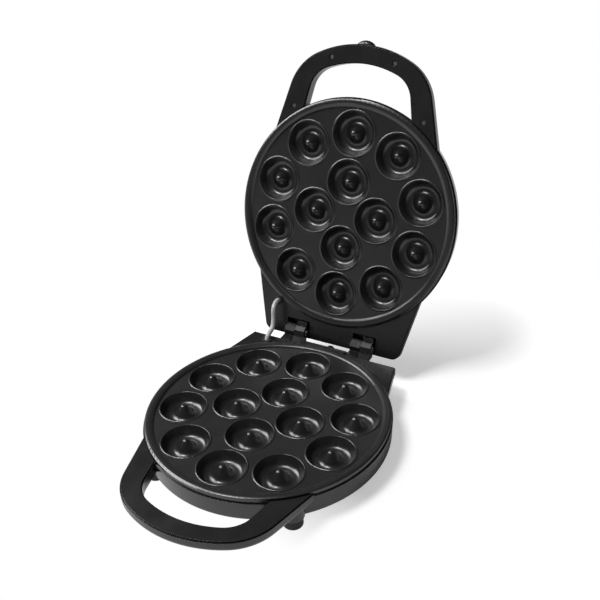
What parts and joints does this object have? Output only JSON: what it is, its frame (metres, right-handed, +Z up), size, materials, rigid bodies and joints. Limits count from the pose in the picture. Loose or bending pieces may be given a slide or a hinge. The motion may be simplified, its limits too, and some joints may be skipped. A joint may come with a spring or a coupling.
{
  "type": "donut maker",
  "caption": "Round table-top donut maker with loop handles: a hinged lid and base, each holding a cast plate of ring-shaped cups over a heating element.",
  "frame": {"origin": "on the table under the centre of the lower plate", "axes": "+Z up, +Y from the front handle to the hinge, +X to the right of someone at the front handle"},
  "size_m": [0.2276, 0.407, 0.3116],
  "materials": {
    "black_plastic": "satin moulded",
    "nonstick_aluminium": "satin non-stick coating",
    "element_steel": "satin",
    "reflector_aluminium": "bright sheet",
    "zinc_steel": "zinc plated",
    "black_steel": "black oxide",
    "black_rubber": "matte",
    "grey_sleeve": "matte woven sleeve",
    "pale_plastic": "matte",
    "wire_insulation": "matte",
    "red_lens": "clear tinted",
    "green_lens": "clear tinted",
    "lamp_glass": "clear"
  },
  "bodies": {
    "base": {"base_shell": "black_plastic", "lower_plate": "nonstick_aluminium", "lower_element": "element_steel", "lower_reflector": "reflector_aluminium", "lower_reflector_screw": "zinc_steel", "thermostat": "pale_plastic", "thermal_fuse": "pale_plastic", "terminal_block": "pale_plastic", "base_harness": "wire_insulation", "cord_gland": "black_rubber", "base_handle_cover": "black_plastic", "base_handle_screws": "zinc_steel", "base_hinge_cover": "black_plastic", "base_grommet": "black_rubber", "feet": "black_rubber", "lower_plate_screws": "zinc_steel", "hinge_pins": "zinc_steel", "lead_sleeve": "grey_sleeve"},
    "lid": {"lid_shell": "black_plastic", "upper_plate": "nonstick_aluminium", "upper_element": "element_steel", "upper_reflector": "reflector_aluminium", "upper_reflector_screw": "zinc_steel", "upper_plate_screws": "zinc_steel", "lid_screw_caps": "black_plastic", "lid_handle_cover": "black_plastic", "lid_handle_screws": "black_steel", "lid_hinge_cover": "black_plastic", "lid_grommet": "black_rubber", "lid_harness": "wire_insulation", "lamp_lens_red": "red_lens", "lamp_lens_green": "green_lens", "lamp_holder": "pale_plastic", "neon_lamps": "lamp_glass", "latch_pin": "zinc_steel"},
    "latch": {"latch": "black_plastic"}
  },
  "joints": [
    {"name": "lid_hinge", "type": "hinge", "parent": "base", "child": "lid", "pos_m": [0, 0.1272, 0.0346], "axis": [1, 0, 0], "range_deg": [0, 107.9], "deforming": ["lead_sleeve"]},
    {"name": "latch_pivot", "type": "hinge", "parent": "lid", "child": "latch", "pos_m": [0, 0.22401, 0.30765], "axis": [1, 0, 0], "range_deg": [0, 212]}
  ]
}
